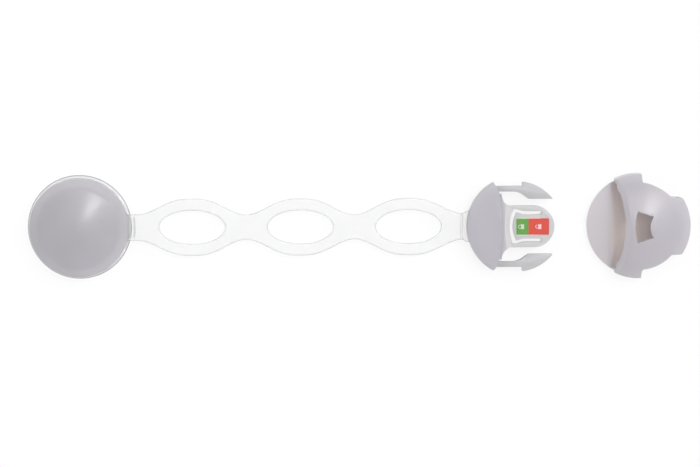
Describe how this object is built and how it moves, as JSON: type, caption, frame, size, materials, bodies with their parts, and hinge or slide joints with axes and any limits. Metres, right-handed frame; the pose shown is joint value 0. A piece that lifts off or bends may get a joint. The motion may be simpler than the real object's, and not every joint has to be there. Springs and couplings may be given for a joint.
{
  "type": "cabinet safety lock",
  "caption": "Stick-on child safety lock: round anchor, clear strap of oval links, plug with two sprung arms and an indicator tab, and a round receiver with a window.",
  "frame": {"origin": "centre of the anchor's adhesive face", "axes": "+X along the strap from the anchor to the receiver, +Z away from the surface that the pads stick to, +Y across"},
  "size_m": [0.2584, 0.0408, 0.0128],
  "materials": {
    "shell_plastic": "soft satin grey-lilac moulding",
    "clear_strap": "clear flexible moulding, smooth",
    "foam_pad": "double-sided foam tape",
    "label_green": "printed label",
    "label_red": "printed label"
  },
  "bodies": {
    "anchor": {"anchor_pad": "foam_pad", "anchor_disc": "clear_strap", "anchor_cap": "shell_plastic"},
    "link_1": {"strap_link_1": "clear_strap"},
    "link_2": {"strap_link_2": "clear_strap"},
    "link_3": {"strap_link_3": "clear_strap"},
    "plug": {"strap_tail": "clear_strap", "plug_head": "shell_plastic", "plug_plate": "shell_plastic"},
    "arm_left": {"release_arm_left": "shell_plastic"},
    "arm_right": {"release_arm_right": "shell_plastic"},
    "tab": {"indicator_tab": "shell_plastic", "label_green": "label_green", "label_red": "label_red"},
    "receiver": {"receiver_pad": "foam_pad", "receiver_base": "shell_plastic", "receiver_cover": "shell_plastic"}
  },
  "joints": [
    {"name": "anchor_fold", "type": "hinge", "parent": "anchor", "child": "link_1", "pos_m": [0.0211, 0, 0.0045], "axis": [0, -1, 0], "range_deg": [-60, 60], "stiffness_Nm_per_rad": 0.02},
    {"name": "neck_1_bend", "type": "hinge", "parent": "link_1", "child": "link_2", "pos_m": [0.06505, 0, 0.0045], "axis": [0, -1, 0], "range_deg": [-60, 60], "stiffness_Nm_per_rad": 0.02},
    {"name": "neck_2_bend", "type": "hinge", "parent": "link_2", "child": "link_3", "pos_m": [0.10715, 0, 0.0045], "axis": [0, -1, 0], "range_deg": [-60, 60], "stiffness_Nm_per_rad": 0.02},
    {"name": "plug_fold", "type": "hinge", "parent": "link_3", "child": "plug", "pos_m": [0.1489, 0, 0.0045], "axis": [0, -1, 0], "range_deg": [-60, 60], "stiffness_Nm_per_rad": 0.02},
    {"name": "arm_left_squeeze", "type": "hinge", "parent": "plug", "child": "arm_left", "pos_m": [0.1606, 0.01475, 0.00525], "axis": [0, 0, -1], "range_deg": [0, 6], "stiffness_Nm_per_rad": 0.02},
    {"name": "arm_right_squeeze", "type": "hinge", "parent": "plug", "child": "arm_right", "pos_m": [0.1606, -0.01475, 0.00525], "axis": [0, 0, 1], "range_deg": [0, 6], "stiffness_Nm_per_rad": 0.02},
    {"name": "tab_flex", "type": "hinge", "parent": "plug", "child": "tab", "pos_m": [0.1789, 0, 0.006], "axis": [0, 1, 0], "range_deg": [-4, 4], "stiffness_Nm_per_rad": 0.003},
    {"name": "latch_slide", "type": "slide", "parent": "plug", "child": "receiver", "axis": [-1, 0, 0], "range_m": [0, 0.0472], "deforming": ["release_arm_left", "release_arm_right"]}
  ]
}
